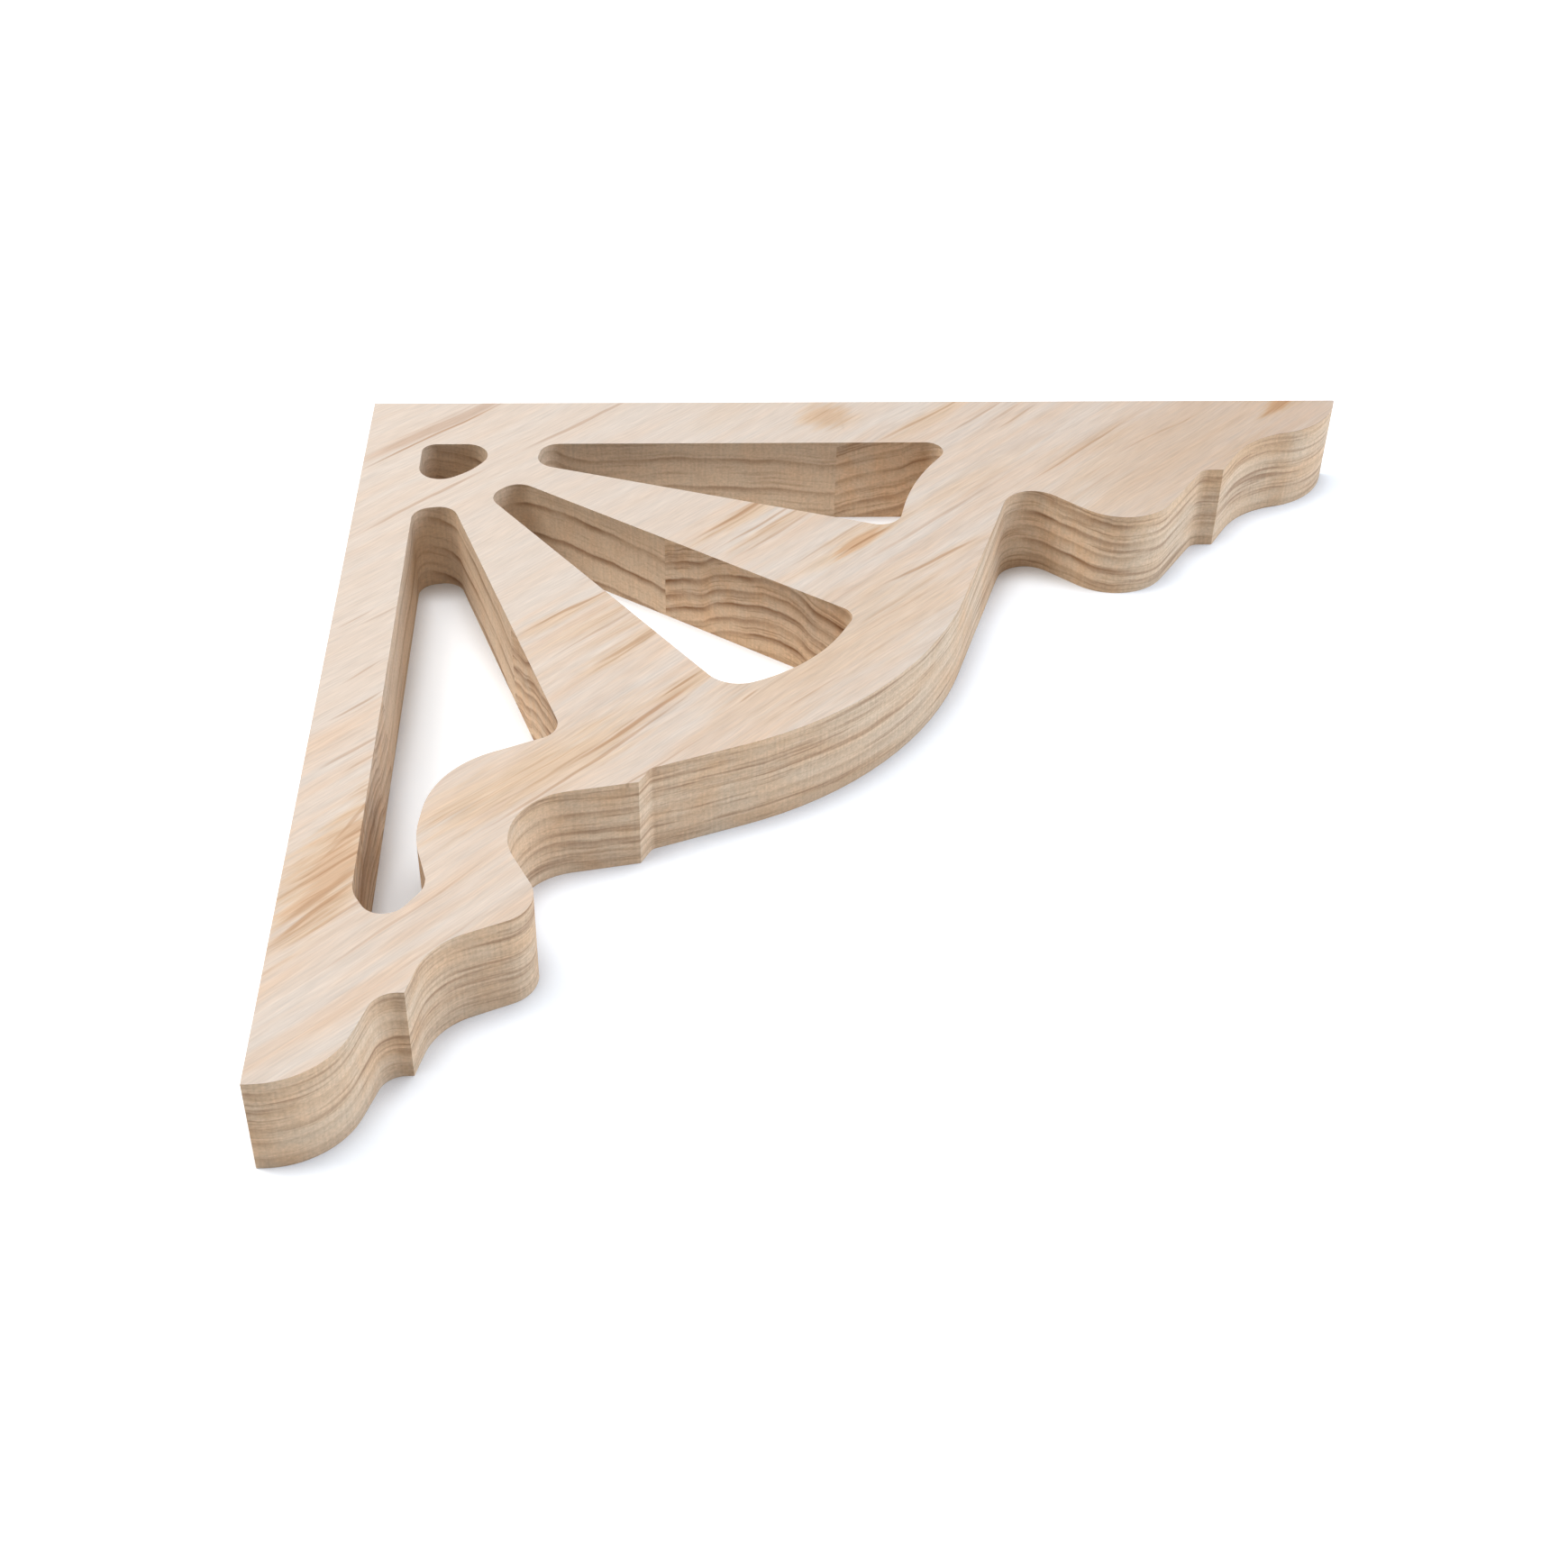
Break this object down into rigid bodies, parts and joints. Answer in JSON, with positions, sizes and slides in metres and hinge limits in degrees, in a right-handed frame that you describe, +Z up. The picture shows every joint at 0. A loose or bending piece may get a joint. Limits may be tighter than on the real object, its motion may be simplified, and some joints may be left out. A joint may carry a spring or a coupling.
{
  "type": "fretwork corner bracket",
  "caption": "Sawn pine corner bracket with a moulded outline and pierced rays, to fill the angle between a post and a beam.",
  "frame": {"origin": "centre of the bounding box, on the broad face that the bracket lies on", "axes": "+X along the arm towards its tip, +Y out of the beam edge, +Z up through the thickness"},
  "size_m": [0.36, 0.342, 0.032],
  "materials": {
    "pine": "bare sanded pine, unvarnished, rougher on the sawn edges"
  },
  "bodies": {
    "root": {"bracket": "pine"}
  },
  "joints": []
}
